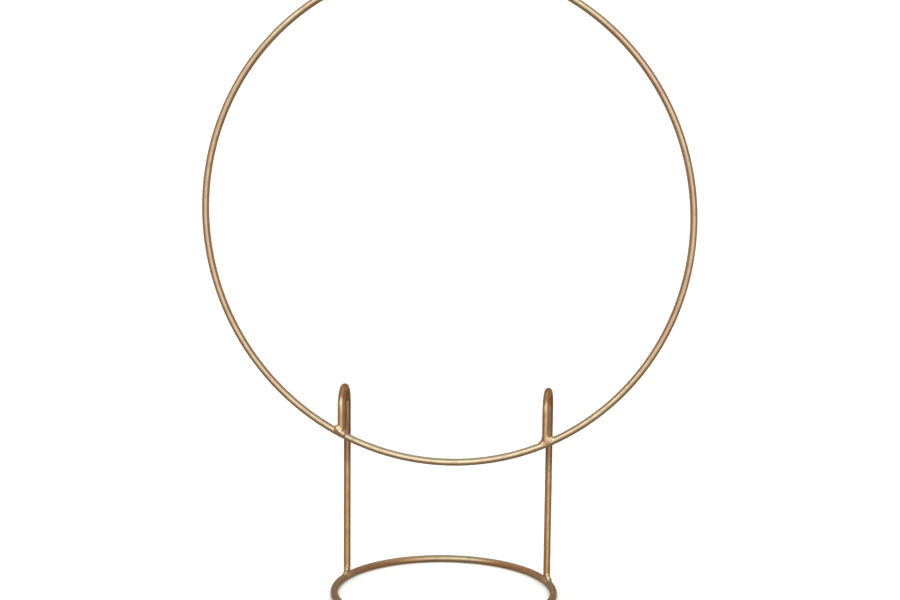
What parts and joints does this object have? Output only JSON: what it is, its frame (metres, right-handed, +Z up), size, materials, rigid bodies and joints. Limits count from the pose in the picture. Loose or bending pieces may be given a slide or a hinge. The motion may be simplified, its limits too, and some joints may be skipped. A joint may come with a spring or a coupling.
{
  "type": "wreath frame",
  "caption": "Free-standing wreath frame: an upright round wire hoop held above a flat wire base ring by hairpin uprights that hook over to its lower sides.",
  "frame": {"origin": "centre of the base ring, on the surface that it stands on", "axes": "+Z up, +X to the hoop's right as seen from the front, the hoop lies in the plane Y = 0 and faces -Y, the long legs stand behind it at +Y"},
  "size_m": [0.301, 0.1412, 0.3902],
  "materials": {
    "hoop_lacquer": "satin metallic pale-gold lacquer over drawn steel wire",
    "upright_lacquer": "satin metallic gold lacquer over drawn steel wire, slightly rosier than the hoop",
    "base_lacquer": "duller brown-gold metallic lacquer over drawn steel wire, rubbed underneath",
    "weld_lacquer": "glossy metallic gold lacquer pooled over small smooth weld fillets"
  },
  "bodies": {
    "root": {"hoop_wire": "hoop_lacquer", "hoop_butt_weld": "weld_lacquer", "base_ring_wire": "base_lacquer", "base_ring_butt_weld": "weld_lacquer", "left_upright": "upright_lacquer", "left_hoop_weld": "weld_lacquer", "left_base_weld": "weld_lacquer", "right_upright": "upright_lacquer", "right_hoop_weld": "weld_lacquer", "right_base_weld": "weld_lacquer"}
  },
  "joints": []
}
